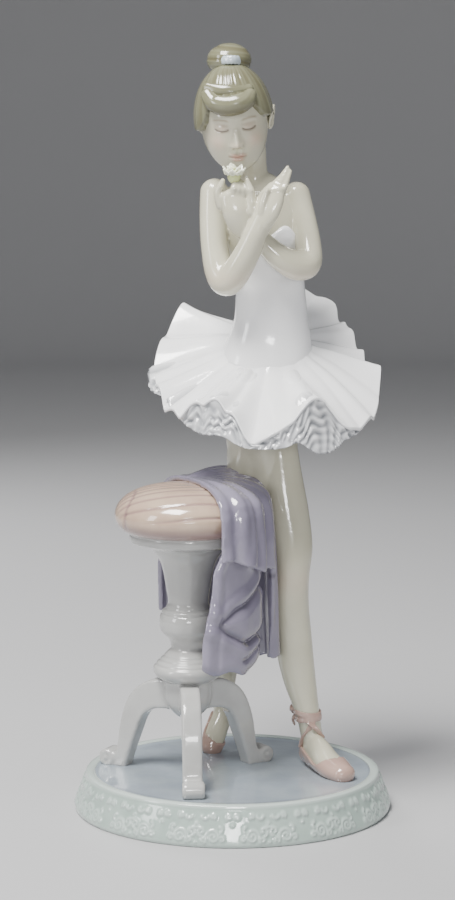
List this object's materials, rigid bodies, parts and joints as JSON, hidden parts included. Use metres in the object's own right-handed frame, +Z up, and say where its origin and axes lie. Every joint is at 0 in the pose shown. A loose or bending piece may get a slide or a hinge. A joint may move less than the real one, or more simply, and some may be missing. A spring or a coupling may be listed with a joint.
{
  "type": "porcelain ballerina figurine",
  "caption": "Glazed porcelain ballerina in a tutu, holding a flower, beside a stool draped with a cloth, on a flared oval base.",
  "frame": {"origin": "middle of the oval base's flat underside", "axes": "+Z up, the dancer faces -Y, the stool stands on the -X side"},
  "size_m": [0.1534, 0.1398, 0.3654],
  "materials": {
    "porcelain_body": "glossy clear glaze over white porcelain",
    "skin_glaze": "warm cream glaze",
    "dress_glaze": "cool white glaze",
    "hair_glaze": "khaki brown glaze with combed relief",
    "cloth_glaze": "lilac grey glaze",
    "cushion_glaze": "pink beige glaze",
    "stool_glaze": "pale grey white glaze",
    "slipper_glaze": "dusty pink glaze",
    "flower_glaze": "pale yellow green glaze",
    "ground_glaze": "blue grey glaze",
    "base_glaze": "pale sage glaze over scroll relief"
  },
  "bodies": {
    "root": {"ballerina_figurine": "porcelain_body"}
  },
  "joints": []
}
